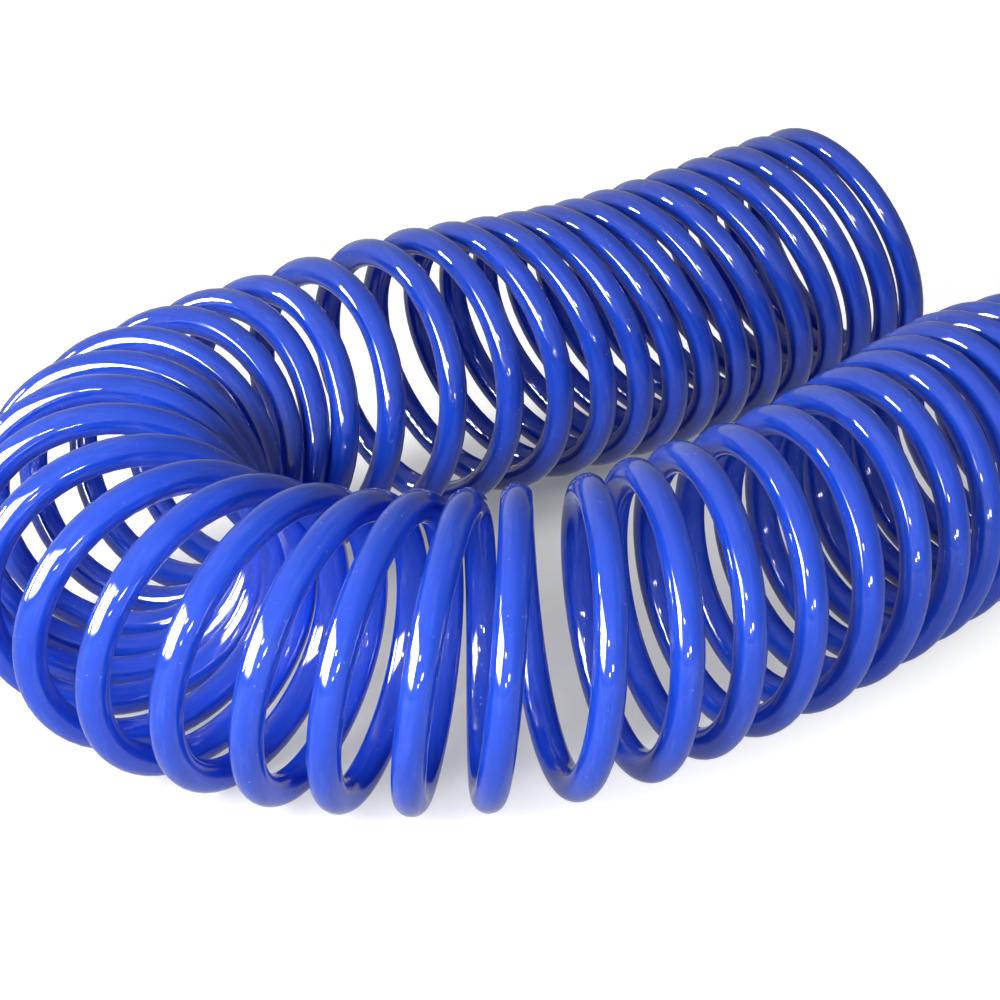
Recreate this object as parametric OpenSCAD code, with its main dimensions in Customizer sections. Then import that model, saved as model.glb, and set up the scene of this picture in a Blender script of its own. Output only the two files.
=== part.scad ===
// Coiled polyurethane air hose, lying on the floor in a U, with a swivel plug
// on one end and a swivel quick coupler on the other. Millimetres, +Z up.

/* [Hose] */
// Outside diameter of the hose
hose_od = 12; // [11:0.5:12]
// Bore of the hose
hose_bore = 8; // [7:0.5:8.5]
// Outside diameter of the coil at the plug's end
coil_od_plug = 135; // [125:1:140]
// Outside diameter of the coil halfway along the first arm
coil_od_arm = 128; // [120:1:132]
// Outside diameter of the coil where the bend starts
coil_od_bend = 124; // [116:1:128]
// Outside diameter of the coil after the bend, where it is narrowest
coil_od_waist = 115; // [108:1:120]
// Outside diameter of the coil at the coupler's end
coil_od_coupler = 122; // [114:1:128]

/* [Spring guards] */
// Wire diameter of a spring guard
guard_wire = 2; // [1.5:0.1:2.4]
// Length of a spring guard
guard_len = 48; // [44:1:64]
// Curls in a spring guard
guard_curls = 9; // [7:1:10]
// Room between the hose and a guard's wire
guard_clear = 0.4; // [0.3:0.1:1]

/* [Hose stems and nuts] */
// Bore of a hose stem
stem_bore = 5.5; // [4:0.5:6]
// Length of the barbed tail inside the hose
barb_len = 20; // [16:1:26]
// Barbs on the tail
barb_count = 4; // [3:1:5]
// Height of a barb
barb_height = 0.5; // [0.3:0.1:0.6]
// Diameter of the stem's clamping thread
stem_thread = 17; // [16:0.5:18]
// Length of the stem's clamping thread
stem_thread_len = 10; // [8:1:14]
// Size across flats of the stem's hexagon
stem_hex = 19; // [18:1:20]
// Length of the stem's hexagon
stem_hex_len = 6; // [5:1:8]
// Size across flats of a clamp nut
nut_hex = 22; // [21:1:23]
// Length of a clamp nut's hexagon
nut_hex_len = 15; // [13:1:16]
// Length of a clamp nut's round collar
nut_collar_len = 10; // [8:1:12]
// Gap left between a tight nut and the stem's hexagon
nut_gap = 0.5; // [0.3:0.1:1]
// Room around the hose where it enters a nut
nut_clear = 0.3; // [0.2:0.1:0.5]

/* [Swivels] */
// Diameter of the spigot that a swivel turns on
spigot_d = 11; // [10:0.5:11.5]
// Length of the spigot
spigot_len = 18; // [16:1:20]
// Radial clearance of the swivel on its spigot
swivel_clear = 0.05; // [0.03:0.01:0.08]
// Gap between the swivel body and the stem's hexagon
swivel_gap = 0.4; // [0.3:0.1:0.8]
// Outside diameter of a swivel body
swivel_od = 21; // [20:0.5:22]
// Length of a swivel body's round part
swivel_round_len = 16.6; // [15:0.1:20]
// Length of a swivel body's hexagon
swivel_hex_len = 13; // [11:1:16]
// Size across flats of a swivel body
swivel_hex = 19; // [18:1:19]
// Thickness of a swivel's sealing ring
ring_d = 1.5; // [1.2:0.1:1.7]
// Thickness of a swivel's snap ring
clip_t = 1.2; // [1:0.1:1.4]
// How far a snap ring stands out of the spigot
clip_stand = 1.1; // [0.8:0.1:1.3]

/* [Plug] */
// Diameter of the threads that join the heads to their swivels
head_thread = 13; // [12:0.1:14]
// Length of those threads
head_thread_len = 10; // [8:1:12]
// Thickness of a gasket
gasket_t = 1.5; // [1:0.1:2]
// Diameter of a gasket
gasket_od = 19; // [18:0.5:20]
// Bore of the plug
plug_bore = 5; // [4:0.5:5.5]
// Size across flats of the plug's hexagon
plug_hex = 19; // [18:1:21]
// Length of the plug's hexagon
plug_hex_len = 7; // [5:1:10]
// Diameter of the plug's locking groove
groove_d = 8.9; // [8.5:0.1:9.2]
// Length of the plug's locking groove
groove_len = 6.5; // [6:0.1:7]
// Diameter of the plug's collar
collar_d = 11.9; // [11.5:0.1:12.4]
// Length of the plug's collar
collar_len = 4.5; // [4:0.1:5]
// Diameter of the plug's nose
nose_d = 7.9; // [7.5:0.1:8.2]
// Length of the plug's nose
nose_len = 12; // [10:0.5:14]

/* [Coupler] */
// Size across flats of the coupler's adaptor
adaptor_hex = 22; // [20:1:23]
// Length of the adaptor's hexagon
adaptor_hex_len = 8; // [7:1:10]
// Bore of the adaptor
adaptor_bore = 7; // [6.5:0.5:8]
// Diameter of the thread that joins the adaptor to the body
body_thread = 17; // [16:0.5:17.5]
// Length of that thread
body_thread_len = 8; // [6:1:8]
// Thickness of the gasket between adaptor and body
body_gasket_t = 1; // [0.8:0.1:1.5]
// Diameter of the body's rear shoulder
shoulder_d = 21.4; // [20.6:0.1:21.6]
// Length of the body's rear shoulder
shoulder_len = 8; // [8:0.5:10]
// Diameter of the body's barrel
barrel_d = 16.8; // [16.6:0.1:17]
// Length of the body's barrel
barrel_len = 30; // [29:1:34]
// Diameter of the valve chamber
chamber_d = 14; // [13.5:0.1:14.4]
// Clearance of the plug in the mouth, on the radius
mouth_clear = 0.1; // [0.05:0.05:0.15]
// Diameter of a lock ball
ball_d = 3.2; // [3:0.1:3.4]
// How far a locked ball reaches into the mouth
ball_bite = 0.85; // [0.6:0.05:0.9]
// Travel of a lock ball outwards
ball_travel = 0.95; // [0.9:0.01:1]
// Room around a ball in its hole
ball_clear = 0.1; // [0.08:0.01:0.12]
// Outside diameter of the sleeve
sleeve_od = 27; // [26:0.5:30]
// Travel of the sleeve
sleeve_travel = 6; // [5:0.5:6]
// Clearance of the sleeve on the barrel
sleeve_clear = 0.2; // [0.1:0.05:0.3]
// Clearance of the sleeve over the rear shoulder
skirt_clear = 0.3; // [0.2:0.05:0.5]
// Curls in the sleeve spring
sleeve_curls = 5; // [4:1:5]
// Wire diameter of the sleeve spring
sleeve_wire = 1.2; // [1:0.1:1.3]
// Thickness of the sleeve's snap ring
stop_t = 1.2; // [1:0.1:1.4]
// Travel of the valve
valve_travel = 5; // [4:0.5:5]
// Diameter of the valve's disc
valve_d = 11.2; // [10:0.1:12]
// Diameter of the pin on the valve's face
valve_pin_d = 5.2; // [4.6:0.1:5.8]
// Curls in the valve spring
valve_curls = 4; // [3:1:4]
// Wire diameter of the valve spring
valve_wire = 0.8; // [0.6:0.1:0.8]

/* [Hidden] */
ring_steps = 8;     // rings of the tube in one curl
ring_sides = 6;     // sides of a wound tube
round_fn = 72;      // facets of a turned piece
edge = 0.6;         // usual chamfer on a turned edge
fit_gap = 0.1;      // radial gap in a thread or around a seal
spring_seat = 0.3;  // room between a spring's end and its seat

hose_blue = [0.16, 0.25, 0.82];
nickel = [0.78, 0.78, 0.76];
steel = [0.62, 0.63, 0.65];
brass = [0.80, 0.66, 0.33];
rubber = [0.08, 0.08, 0.09];

// ---- where the hose lies ---------------------------------------------------
// Each curl rests on a flat a tenth of the hose deep.
foot_cut = hose_od / 10;
rest_z = hose_od / 2 - foot_cut;
tail_sides = 12;    // sides of a straight stretch's tube
first_turn = 0.5;   // the coil starts and ends at the floor
last_turn = 47.5;

// Middle of the coil at a turn: [turn, [x, y]]. Uneven steps are the gaps between curls.
coil_route = [
    [0.5, [154, 83]], [2, [131, 88]], [4, [92, 90]], [6, [49, 91]], [8, [7, 92]],
    [10, [-30, 96]], [12, [-70, 103]], [13, [-94, 107]], [14, [-123, 110]],
    [15, [-159, 112]], [16, [-189, 114]], [17, [-210, 117]], [18, [-232, 114]],
    [19, [-256, 104]], [20, [-277, 88]], [21, [-292, 71]], [22, [-305, 51]],
    [23, [-314, 25]], [24, [-316, -2]], [25, [-310, -23]], [26, [-300, -43]],
    [27, [-288, -62]], [28, [-274, -76]], [29, [-258, -90]], [30, [-239, -101]],
    [31, [-212, -114]], [32, [-188, -117]], [33, [-164, -118]], [34, [-139, -120]],
    [35, [-113, -120]], [36, [-88, -118]], [38, [-44, -113]], [40, [-5, -108]],
    [42, [33, -107]], [43, [55, -110]], [45, [98, -112]], [47.5, [150, -112]]
];
// How a curl stands: [turn, [direction its outer side faces, lean along the coil]]
coil_facing = [
    [0.5, [81, 15]], [3, [83, 18]], [6, [86, 19]], [9, [88, 16]], [12, [88, 8]],
    [14, [87, -2]], [16, [93, -14]], [18, [110, -20]], [20, [132, -14]], [22, [151, -3]],
    [24, [178, 3]], [26, [197, 5]], [28, [212, 3]], [30, [231, 0]], [32, [245, -1]],
    [34, [254, 0]], [36, [260, 1]], [38, [263, 2]], [40, [266, 0]], [43, [273, -8]],
    [47.5, [275, -6]]
];
// Outside diameter of a curl: [turn, diameter]
coil_size = [
    [0.5, coil_od_plug], [10, coil_od_arm], [18, coil_od_bend], [32, coil_od_waist],
    [40, (coil_od_waist + coil_od_coupler) / 2], [47.5, coil_od_coupler]
];
// Points of the loose ends, from the coil's exit to the fitting
plug_tail_route = [[165, 58, 5], [167, 45, 6], [174, 31, 7], [185, 19, 8], [199, 11, 10]];
coupler_tail_route = [
    [157, -130, 5], [162, -141, 7], [171, -151, 9], [183, -159, 11], [195, -164, 13]
];
plug_at = [292, 8];
coupler_at = [281, -165];

// ---- stations along a fitting, from the shoulder that the hose stops on ----
nut_rear = -(nut_hex_len + nut_collar_len - stem_thread_len + nut_gap);
nut_front = stem_thread_len - nut_gap;
guard_rear = nut_rear - guard_len;
// The wire is a chord between rings, so its circle is a little larger.
guard_r = (hose_od / 2 + guard_clear) / cos(180 / ring_steps) + guard_wire / 2;
straight_len = guard_len - nut_rear + 6;
stem_hex_end = stem_thread_len + stem_hex_len;
spigot_end = stem_hex_end + spigot_len;
swivel_rear = stem_hex_end + swivel_gap;
swivel_waist = swivel_rear + swivel_round_len;
swivel_front = swivel_waist + swivel_hex_len;
head_base = swivel_front + gasket_t;
seal_at = stem_hex_end + 5;
clip_at = stem_hex_end + 12;
swivel_r = spigot_d / 2 + swivel_clear;
seal_groove_r = spigot_d / 2 - ring_d - 0.1;
clip_groove_r = spigot_d / 2 - 0.9;
clip_outer_r = spigot_d / 2 + clip_stand;
clip_side = 0.4;    // room beside the snap ring in the swivel body

// ---- stations of the plug and the coupler ----------------------------------
plug_groove_z = head_base + plug_hex_len;
plug_collar_z = plug_groove_z + groove_len;
plug_nose_z = plug_collar_z + collar_len;
plug_tip_z = plug_nose_z + nose_len;

body_rear = head_base + adaptor_hex_len + body_gasket_t;
barrel_rear = body_rear + shoulder_len;
mouth_z = barrel_rear + barrel_len;
mouth_r = collar_d / 2 + mouth_clear;
nose_r = nose_d / 2 + mouth_clear;
plug_stop_gap = 0.5;    // between the mouth and the plug's hexagon when coupled
ball_r = ball_d / 2;
ball_rest = mouth_r - ball_bite + ball_r;
ball_z = mouth_z - plug_stop_gap - groove_len + ball_r;
collar_floor = mouth_z - plug_stop_gap - groove_len - collar_len - 0.5;
seal_room = 2.4;        // length of the mouth seal's groove
valve_seat = barrel_rear + 9;
adaptor_pocket_z = head_base + adaptor_hex_len + 2;
adaptor_front = head_base + adaptor_hex_len + body_thread_len;
sleeve_rear = body_rear + sleeve_travel;
sleeve_land_r = barrel_d / 2 + sleeve_clear;
sleeve_skirt_r = shoulder_d / 2 + skirt_clear;
relief_r = ball_rest + ball_travel + ball_r + 0.35;
land_front = ball_z + 0.4;
relief_front = ball_z + ball_r + 1;
stop_rear = relief_front + 0.2;
stop_groove_r = barrel_d / 2 - 0.7;
stop_r = relief_r + 0.5;
counterbore_r = stop_r + 0.4;
sleeve_front = mouth_z - 0.4;
sleeve_spring_len = 14;
land_rear = barrel_rear + sleeve_spring_len;
sleeve_spring_r = barrel_d / 4 + sleeve_skirt_r / 2 + 0.25;
fin_len = 3;
disc_len = 2.5;
valve_face_t = 1;       // thickness of the valve's rubber face
disc_front = valve_seat - valve_face_t - 0.2;
disc_rear = disc_front - disc_len;
fin_rear = disc_rear - fin_len;
valve_tail_z = adaptor_pocket_z + valve_travel + 0.3;
valve_tail_r = 2.2;
valve_spring_r = 4.2;
pin_front = valve_seat + 4.5;

// A fitting lies on its widest piece.
plug_axis_z = max(nut_hex / 2, swivel_od / 2, swivel_hex / sqrt(3), plug_hex / sqrt(3));
coupler_axis_z = max(nut_hex / 2, sleeve_od / 2, adaptor_hex / sqrt(3));

// ---- smooth values along the coil ------------------------------------------
function seat_of(rows, t, i = 0) =
    i == len(rows) - 2 || t < rows[i + 1][0] ? i : seat_of(rows, t, i + 1);

function rise(rows, i) = (rows[i + 1][1] - rows[i][1]) / (rows[i + 1][0] - rows[i][0]);

function slope(rows, i) =
    i == 0 ? rise(rows, 0)
    : i == len(rows) - 1 ? rise(rows, i - 1)
    : let (before = rows[i][0] - rows[i - 1][0], after = rows[i + 1][0] - rows[i][0])
        (rise(rows, i - 1) * after + rise(rows, i) * before) / (before + after);

// Value of a list of [turn, value] at any turn, on a curve through every row
function glide(rows, t) =
    let (
        i = seat_of(rows, t),
        h = rows[i + 1][0] - rows[i][0],
        u = (t - rows[i][0]) / h
    )
    (2 * u ^ 3 - 3 * u ^ 2 + 1) * rows[i][1] + (u ^ 3 - 2 * u ^ 2 + u) * h * slope(rows, i)
    + (3 * u ^ 2 - 2 * u ^ 3) * rows[i + 1][1] + (u ^ 3 - u ^ 2) * h * slope(rows, i + 1);

function unit(v) = v / norm(v);

function curl_radius(t) = (glide(coil_size, t) - hose_od) / 2;

function curl_middle(t) =
    let (c = glide(coil_route, t), lean = glide(coil_facing, t)[1])
    [c[0], c[1], rest_z + curl_radius(t) * cos(lean)];

// Point of the hose's centreline; a whole turn is the top of a curl.
function coil_point(t) =
    let (
        f = glide(coil_facing, t),
        out = [cos(f[0]), sin(f[0]), 0],
        up = [-sin(f[0]) * sin(f[1]), cos(f[0]) * sin(f[1]), cos(f[1])]
    )
    curl_middle(t) + curl_radius(t) * (cos(360 * t) * up - sin(360 * t) * out);

function coil_way(t) = unit(coil_point(t + 0.01) - coil_point(t - 0.01));

// Where the coil hands over to a loose end, one hose diameter past its last curl
coil_start = coil_point(first_turn) - hose_od * coil_way(first_turn + 0.01);
coil_end = coil_point(last_turn) + hose_od * coil_way(last_turn - 0.01);

coil_turns = [for (i = [0 : ring_steps * (last_turn - first_turn)]) first_turn + i / ring_steps];
coil_line = concat([coil_start], [for (t = coil_turns) coil_point(t)], [coil_end]);
coil_inward = concat(
    [[0, 0, 1]],
    [for (t = coil_turns) curl_middle(t) - coil_point(t)],
    [[0, 0, 1]]
);

// ---- tubes -----------------------------------------------------------------
function way_at(line, i) =
    unit(line[min(i + 1, len(line) - 1)] - line[max(i - 1, 0)]);

// One ring of a tube, square to the line, its first corner towards ref
function tube_ring(line, i, ref, r, sides) =
    let (
        way = way_at(line, i),
        side = unit(cross(way, ref)),
        top = cross(side, way)
    )
    [for (k = [0 : sides - 1]) line[i] + r * (cos(360 * k / sides) * top + sin(360 * k / sides) * side)];

module tube(line, refs, r, sides) {
    last = len(line) - 1;
    points = [for (i = [0 : last]) each tube_ring(line, i, refs[i], r, sides)];
    wall = [
        for (i = [0 : last - 1], k = [0 : sides - 1])
            let (a = i * sides + k, b = i * sides + (k + 1) % sides)
            each [[a, b, b + sides], [a, b + sides, a + sides]]
    ];
    start = [for (k = [1 : sides - 2]) [0, k + 1, k]];
    end = [for (k = [1 : sides - 2]) [last * sides, last * sides + k, last * sides + k + 1]];
    polyhedron(points, concat(wall, start, end));
}

// Keeps what is above the floor, so the hose rests on flats
module on_floor() {
    reach = 1000;   // past the hose on every side
    intersection() {
        children();
        translate([-reach / 2, -reach / 2, 0]) cube(reach);
    }
}

// Least room between two passes of a wound line, ring by ring
function least_gap(line, thickness) =
    let (half = ring_steps / 2, last = len(line) - 1)
    min([
        for (i = [0 : last - half])
            min([for (j = [i + half : min(i + 2 * ring_steps, last)]) norm(line[i] - line[j])])
    ]) - thickness;

// ---- springs ---------------------------------------------------------------
// Centreline of a spring about Z between two seats, its ends straight for one wire diameter
function spring_line(r, z0, z1, curls, wire) =
    let (
        n = curls * ring_steps,
        low = z0 + wire / 2 + spring_seat,
        climb = (z1 - wire / 2 - spring_seat - low) / n,
        turn = [for (i = [0 : n]) let (a = 360 * i / ring_steps)
            [r * cos(a), r * sin(a), low + climb * i]],
        tip = wire * unit(turn[n] - turn[n - 1]),
        root = wire * unit(turn[0] - turn[1])
    )
    concat([turn[0] + root], turn, [turn[n] + tip]);

module spring(line, wire) {
    tube(line, [for (p = line) [-p[0], -p[1], 0]], wire / 2, ring_sides);
}

guard_line = spring_line(guard_r, guard_rear, nut_rear, guard_curls, guard_wire);
sleeve_spring_line = spring_line(sleeve_spring_r, barrel_rear, land_rear, sleeve_curls, sleeve_wire);
valve_spring_line = spring_line(valve_spring_r, adaptor_pocket_z, fin_rear, valve_curls, valve_wire);

echo(
    least_gap_of_coil_mm = least_gap(coil_line, hose_od),
    least_gap_of_guards_mm = least_gap(guard_line, guard_wire),
    least_gap_of_sleeve_spring_mm = least_gap(sleeve_spring_line, sleeve_wire),
    least_gap_of_valve_spring_mm = least_gap(valve_spring_line, valve_wire)
);

// ---- turned and hexagonal stock --------------------------------------------
module turned(profile) {
    rotate_extrude($fn = round_fn) polygon(profile);
}

module ring(r_in, r_out, z0, z1) {
    turned([[r_in, z0], [r_out, z0], [r_out, z1], [r_in, z1]]);
}

// Hexagon bar with a flat downwards, its corners turned off at both ends
module hexagon(flats, r_in, z0, z1) {
    corner = flats / sqrt(3);
    bevel = (corner - flats / 2) * 0.6;
    intersection() {
        difference() {
            translate([0, 0, z0]) rotate([0, 0, 30]) cylinder(r = corner, h = z1 - z0, $fn = 6);
            translate([0, 0, z0 - 1]) cylinder(r = r_in, h = z1 - z0 + 2, $fn = round_fn);
        }
        turned([
            [0, z0], [flats / 2, z0], [corner, z0 + bevel],
            [corner, z1 - bevel], [flats / 2, z1], [0, z1]
        ]);
    }
}

module plug_side() {
    translate([plug_at[0], plug_at[1], plug_axis_z]) rotate([0, 90, 0]) children();
}

module coupler_side() {
    translate([coupler_at[0], coupler_at[1], coupler_axis_z]) rotate([0, 90, 0]) children();
}

// ---- the hose --------------------------------------------------------------
module hose_coil() {
    color(hose_blue) on_floor() tube(coil_line, coil_inward, hose_od / 2, ring_sides);
}

// A loose end, from the coil's exit to the straight stretch in the fitting
module tail(exit, way, route, at, axis_z) {
    stop = [at[0] - straight_len, at[1], axis_z];
    line = concat([exit, exit + hose_od / 2 * way], route, [stop - [hose_od / 2, 0, 0], stop]);
    on_floor() tube(line, [for (p = line) [0, 0, 1]], hose_od / 2, tail_sides);
}

module plug_tail() {
    color(hose_blue)
        tail(coil_start, unit(coil_start - coil_point(first_turn)),
            plug_tail_route, plug_at, plug_axis_z);
}

module coupler_tail() {
    color(hose_blue)
        tail(coil_end, unit(coil_end - coil_point(last_turn)),
            coupler_tail_route, coupler_at, coupler_axis_z);
}

module hose_end() {
    color(hose_blue) ring(hose_bore / 2, hose_od / 2, -straight_len, 0);
}

// ---- what both ends share --------------------------------------------------
module spring_guard() {
    color(steel) spring(guard_line, guard_wire);
}

module clamp_nut() {
    thread_r = stem_thread / 2 + fit_gap;
    hose_r = hose_od / 2 + nut_clear;
    collar_end = nut_rear + nut_collar_len;
    color(nickel) {
        turned([
            [hose_r, nut_rear], [nut_hex / 2 - 2, nut_rear], [nut_hex / 2 - 1, nut_rear + 1],
            [nut_hex / 2 - 0.5, collar_end], [nut_hex / 2 - 0.5, collar_end + 1],
            [hose_r, collar_end + 1]
        ]);
        difference() {
            hexagon(nut_hex, hose_r, collar_end, nut_front);
            cylinder(r = thread_r, h = nut_front + 1, $fn = round_fn);
        }
    }
}

module hose_stem() {
    bore_r = stem_bore / 2;
    crest_r = hose_bore / 2 - 0.05;
    root_r = crest_r - barb_height;
    pitch = barb_len / (barb_count + 0.5);
    thread_r = stem_thread / 2;
    spigot_r = spigot_d / 2;
    seal_half = ring_d / 2 + 0.2;
    clip_half = clip_t / 2 + 0.1;
    barbs = [
        for (i = [0 : barb_count - 1])
            let (z = -barb_len + i * pitch)
            each [[root_r, z], [crest_r, z + 0.8 * pitch], [crest_r, z + 0.98 * pitch]]
    ];
    barbs_end = -barb_len + barb_count * pitch;
    color(brass) {
        turned(concat(
            [[bore_r, -barb_len]],
            barbs,
            [
                [root_r, barbs_end], [root_r, 0], [thread_r - edge, 0], [thread_r, edge],
                [thread_r, stem_thread_len + 1], [spigot_r, stem_thread_len + 1],
                [spigot_r, seal_at - seal_half], [seal_groove_r, seal_at - seal_half],
                [seal_groove_r, seal_at + seal_half], [spigot_r, seal_at + seal_half],
                [spigot_r, clip_at - clip_half], [clip_groove_r, clip_at - clip_half],
                [clip_groove_r, clip_at + clip_half], [spigot_r, clip_at + clip_half],
                [spigot_r, spigot_end - edge], [spigot_r - edge, spigot_end],
                [bore_r, spigot_end]
            ]
        ));
        hexagon(stem_hex, bore_r + 1, stem_thread_len, stem_hex_end);
    }
}

module swivel_seal() {
    color(rubber) rotate_extrude($fn = round_fn)
        translate([seal_groove_r + 0.05 + ring_d / 2, seal_at]) circle(d = ring_d, $fn = 24);
}

// Snap ring with a gap, so that it can be sprung over the spigot
module snap_ring(r_in, r_out, z0, z1) {
    difference() {
        ring(r_in, r_out, z0, z1);
        translate([0, -1.5, z0 - 1]) cube([r_out + 1, 3, z1 - z0 + 2]);
    }
}

module swivel_clip() {
    color(steel) snap_ring(clip_groove_r + 0.05, clip_outer_r, clip_at - clip_t / 2, clip_at + clip_t / 2);
}

module swivel_body() {
    r = swivel_od / 2;
    thread_r = head_thread / 2 + fit_gap;
    room_r = clip_outer_r + 0.3;
    room_half = clip_t / 2 + clip_side;
    thread_rear = swivel_front - head_thread_len - 0.5;
    color(nickel) {
        turned([
            [swivel_r, swivel_rear], [r - 2 * edge, swivel_rear], [r, swivel_rear + 2 * edge],
            [r, swivel_rear + 4], [r - edge, swivel_rear + 4.5], [r - edge, swivel_rear + 5.5],
            [r, swivel_rear + 6], [r, swivel_waist - 2], [swivel_hex / 2 - edge, swivel_waist + 1],
            [thread_r, swivel_waist + 1], [thread_r, thread_rear + 1],
            [swivel_r, thread_rear], [swivel_r, clip_at + room_half],
            [room_r, clip_at + room_half], [room_r, clip_at - room_half],
            [swivel_r, clip_at - room_half]
        ]);
        hexagon(swivel_hex, thread_r, swivel_waist, swivel_front);
    }
}

module head_gasket() {
    color(rubber) ring(head_thread / 2 + fit_gap, gasket_od / 2, swivel_front, head_base);
}

// ---- the plug --------------------------------------------------------------
module plug_nipple() {
    bore_r = plug_bore / 2;
    bevel = 0.8;
    color(steel) {
        turned([
            [bore_r, swivel_front - head_thread_len],
            [head_thread / 2 - edge, swivel_front - head_thread_len],
            [head_thread / 2, swivel_front - head_thread_len + edge],
            [head_thread / 2, head_base + 1],
            [groove_d / 2, head_base + 1],
            [groove_d / 2, plug_collar_z], [collar_d / 2, plug_collar_z + bevel],
            [collar_d / 2, plug_nose_z - bevel], [nose_d / 2, plug_nose_z + bevel],
            [nose_d / 2, plug_tip_z - bevel], [nose_d / 2 - bevel, plug_tip_z],
            [bore_r, plug_tip_z]
        ]);
        hexagon(plug_hex, bore_r + 1, head_base, plug_groove_z);
    }
}

// ---- the coupler -----------------------------------------------------------
module coupler_adaptor() {
    bore_r = adaptor_bore / 2;
    pocket_r = chamber_d / 2 + fit_gap;
    hex_end = head_base + adaptor_hex_len;
    color(nickel) {
        turned([
            [bore_r, swivel_front - head_thread_len],
            [head_thread / 2 - edge, swivel_front - head_thread_len],
            [head_thread / 2, swivel_front - head_thread_len + edge],
            [head_thread / 2, head_base + 1], [body_thread / 2, head_base + 1],
            [body_thread / 2, adaptor_front - edge], [body_thread / 2 - edge, adaptor_front],
            [pocket_r, adaptor_front], [pocket_r, adaptor_pocket_z], [bore_r, adaptor_pocket_z]
        ]);
        hexagon(adaptor_hex, bore_r + 1, head_base, hex_end);
    }
}

module body_gasket() {
    color(rubber)
        ring(body_thread / 2 + fit_gap, shoulder_d / 2 - 0.4, body_rear - body_gasket_t, body_rear);
}

module coupler_body() {
    thread_r = body_thread / 2 + fit_gap;
    barrel_r = barrel_d / 2;
    chamber_r = chamber_d / 2;
    chamber_rear = adaptor_front + 0.5;
    groove_z = collar_floor - 4.5;
    stop_front = stop_rear + stop_t;
    color(nickel) difference() {
        turned([
            [thread_r, body_rear], [shoulder_d / 2 - edge, body_rear],
            [shoulder_d / 2, body_rear + edge], [shoulder_d / 2, barrel_rear],
            [barrel_r, barrel_rear],
            [barrel_r, stop_rear - 0.1], [stop_groove_r, stop_rear - 0.1],
            [stop_groove_r, stop_front + 0.1], [barrel_r, stop_front + 0.1],
            [barrel_r, mouth_z - edge], [barrel_r - edge, mouth_z],
            [mouth_r + edge, mouth_z], [mouth_r, mouth_z - edge],
            [mouth_r, collar_floor], [nose_r, collar_floor - 1.5],
            [nose_r, groove_z + seal_room], [nose_r + 1.8, groove_z + seal_room],
            [nose_r + 1.8, groove_z], [nose_r, groove_z],
            [nose_r, valve_seat], [chamber_r, valve_seat],
            [chamber_r, chamber_rear], [thread_r, chamber_rear]
        ]);
        for (i = [0 : 3])
            rotate([0, 0, 45 + 90 * i]) translate([0, 0, ball_z]) rotate([0, 90, 0])
                cylinder(r = ball_r + ball_clear, h = barrel_r + 1, $fn = round_fn);
    }
}

module sleeve() {
    r = sleeve_od / 2;
    grip_z = (sleeve_rear + sleeve_front) / 2;
    color(steel) turned([
        [sleeve_skirt_r, sleeve_rear], [r - 1.5, sleeve_rear], [r - 0.5, sleeve_rear + 1],
        [r - 0.5, grip_z - 8], [r - 1, grip_z - 7.5], [r - 1, grip_z + 7.5],
        [r - 0.5, grip_z + 8], [r, grip_z + 9], [r, sleeve_front - 1.2], [r - 1.2, sleeve_front],
        [counterbore_r, sleeve_front], [counterbore_r, relief_front],
        [relief_r, relief_front], [relief_r, land_front],
        [sleeve_land_r, land_front], [sleeve_land_r, land_rear], [sleeve_skirt_r, land_rear]
    ]);
}

module sleeve_spring() {
    color(steel) spring(sleeve_spring_line, sleeve_wire);
}

module sleeve_clip() {
    color(steel) snap_ring(stop_groove_r + 0.05, stop_r, stop_rear, stop_rear + stop_t);
}

module lock_ball(i) {
    color(steel) rotate([0, 0, 45 + 90 * i]) translate([ball_rest, 0, ball_z])
        sphere(d = ball_d, $fn = 48);
}

module valve_poppet() {
    fin_r = chamber_d / 2 - 0.1;
    color(brass) {
        turned([
            [0, valve_tail_z], [valve_tail_r, valve_tail_z],
            [valve_tail_r, disc_rear], [valve_d / 2, disc_rear], [valve_d / 2, disc_front],
            [valve_pin_d / 2, disc_front], [valve_pin_d / 2, pin_front - edge],
            [valve_pin_d / 2 - edge, pin_front], [0, pin_front]
        ]);
        for (i = [0 : 2])
            rotate([0, 0, 120 * i]) translate([0, -0.6, fin_rear])
                cube([fin_r, 1.2, fin_len + 0.5]);
    }
}

module valve_seal() {
    color(rubber)
        ring(valve_pin_d / 2 + 0.05, valve_d / 2 - 0.3, disc_front, disc_front + valve_face_t);
}

module valve_spring() {
    color(steel) spring(valve_spring_line, valve_wire);
}

module mouth_seal() {
    ring_r = 1.1;
    color(rubber) rotate_extrude($fn = round_fn)
        translate([nose_r + 1.75 - ring_r, collar_floor - 4.5 + seal_room / 2]) circle(r = ring_r, $fn = 24);
}

hose_coil();
plug_tail();
coupler_tail();
plug_side() hose_end();  // plug_hose_end
coupler_side() hose_end();  // coupler_hose_end
plug_side() spring_guard();  // plug_spring_guard
coupler_side() spring_guard();  // coupler_spring_guard
plug_side() clamp_nut();  // plug_clamp_nut
coupler_side() clamp_nut();  // coupler_clamp_nut
plug_side() hose_stem();  // plug_hose_stem
coupler_side() hose_stem();  // coupler_hose_stem
plug_side() swivel_seal();  // plug_swivel_seal
coupler_side() swivel_seal();  // coupler_swivel_seal
plug_side() swivel_clip();  // plug_swivel_clip
coupler_side() swivel_clip();  // coupler_swivel_clip
plug_side() swivel_body();  // plug_swivel_body
coupler_side() swivel_body();  // coupler_swivel_body
plug_side() head_gasket();  // plug_gasket
coupler_side() head_gasket();  // coupler_gasket
plug_side() plug_nipple();
coupler_side() coupler_adaptor();
coupler_side() body_gasket();
coupler_side() coupler_body();
coupler_side() sleeve();
coupler_side() sleeve_spring();
coupler_side() sleeve_clip();
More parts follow.
